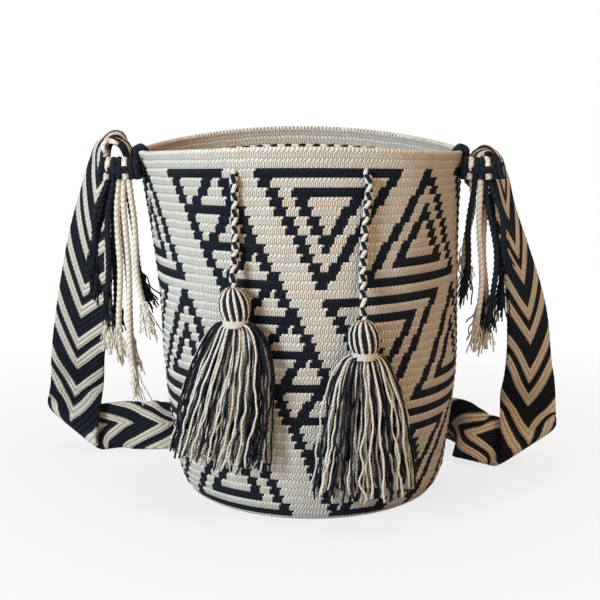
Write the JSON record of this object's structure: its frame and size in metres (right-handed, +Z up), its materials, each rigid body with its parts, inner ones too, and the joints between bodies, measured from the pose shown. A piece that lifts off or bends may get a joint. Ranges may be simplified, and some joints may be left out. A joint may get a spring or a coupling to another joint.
{
  "type": "crochet bucket bag",
  "caption": "Round-footed crocheted cotton bucket bag with nested triangle pattern, woven chevron strap, drawstring, yarn tassels and side fringes.",
  "frame": {"origin": "centre of the bag's round foot, on the surface that it stands on", "axes": "+Z up, -Y towards the front with the tassels, +X to the viewer's right"},
  "size_m": [0.4688, 0.3061, 0.2988],
  "materials": {
    "crochet_cotton": "matte crocheted cotton, cream with a black pattern",
    "braided_cord": "matte braided cotton, black and cream",
    "tassel_yarn": "loose cotton yarn, black and cream",
    "woven_cotton": "matte woven cotton, black and cream chevrons",
    "cream_cotton": "matte twisted cotton cord",
    "black_cotton": "matte twisted cotton cord"
  },
  "bodies": {
    "root": {"bag_body": "crochet_cotton", "drawstring": "braided_cord", "tassel_left_yarn": "tassel_yarn", "tassel_left_tie": "cream_cotton", "tassel_right_yarn": "tassel_yarn", "tassel_right_tie": "cream_cotton", "strap": "woven_cotton", "lashing_left": "black_cotton", "lashing_right": "black_cotton", "fringe_knot_left": "black_cotton", "fringe_knot_right": "black_cotton", "fringe_left_01": "black_cotton", "fringe_left_02": "black_cotton", "fringe_left_03": "cream_cotton", "fringe_left_04": "cream_cotton", "fringe_left_05": "cream_cotton", "fringe_left_06": "black_cotton", "fringe_left_07": "cream_cotton", "fringe_left_08": "black_cotton", "fringe_left_09": "cream_cotton", "fringe_left_10": "black_cotton", "fringe_right_01": "black_cotton", "fringe_right_02": "cream_cotton", "fringe_right_03": "black_cotton", "fringe_right_04": "black_cotton", "fringe_right_05": "cream_cotton", "fringe_right_06": "black_cotton", "fringe_right_07": "cream_cotton", "fringe_right_08": "black_cotton"}
  },
  "joints": []
}
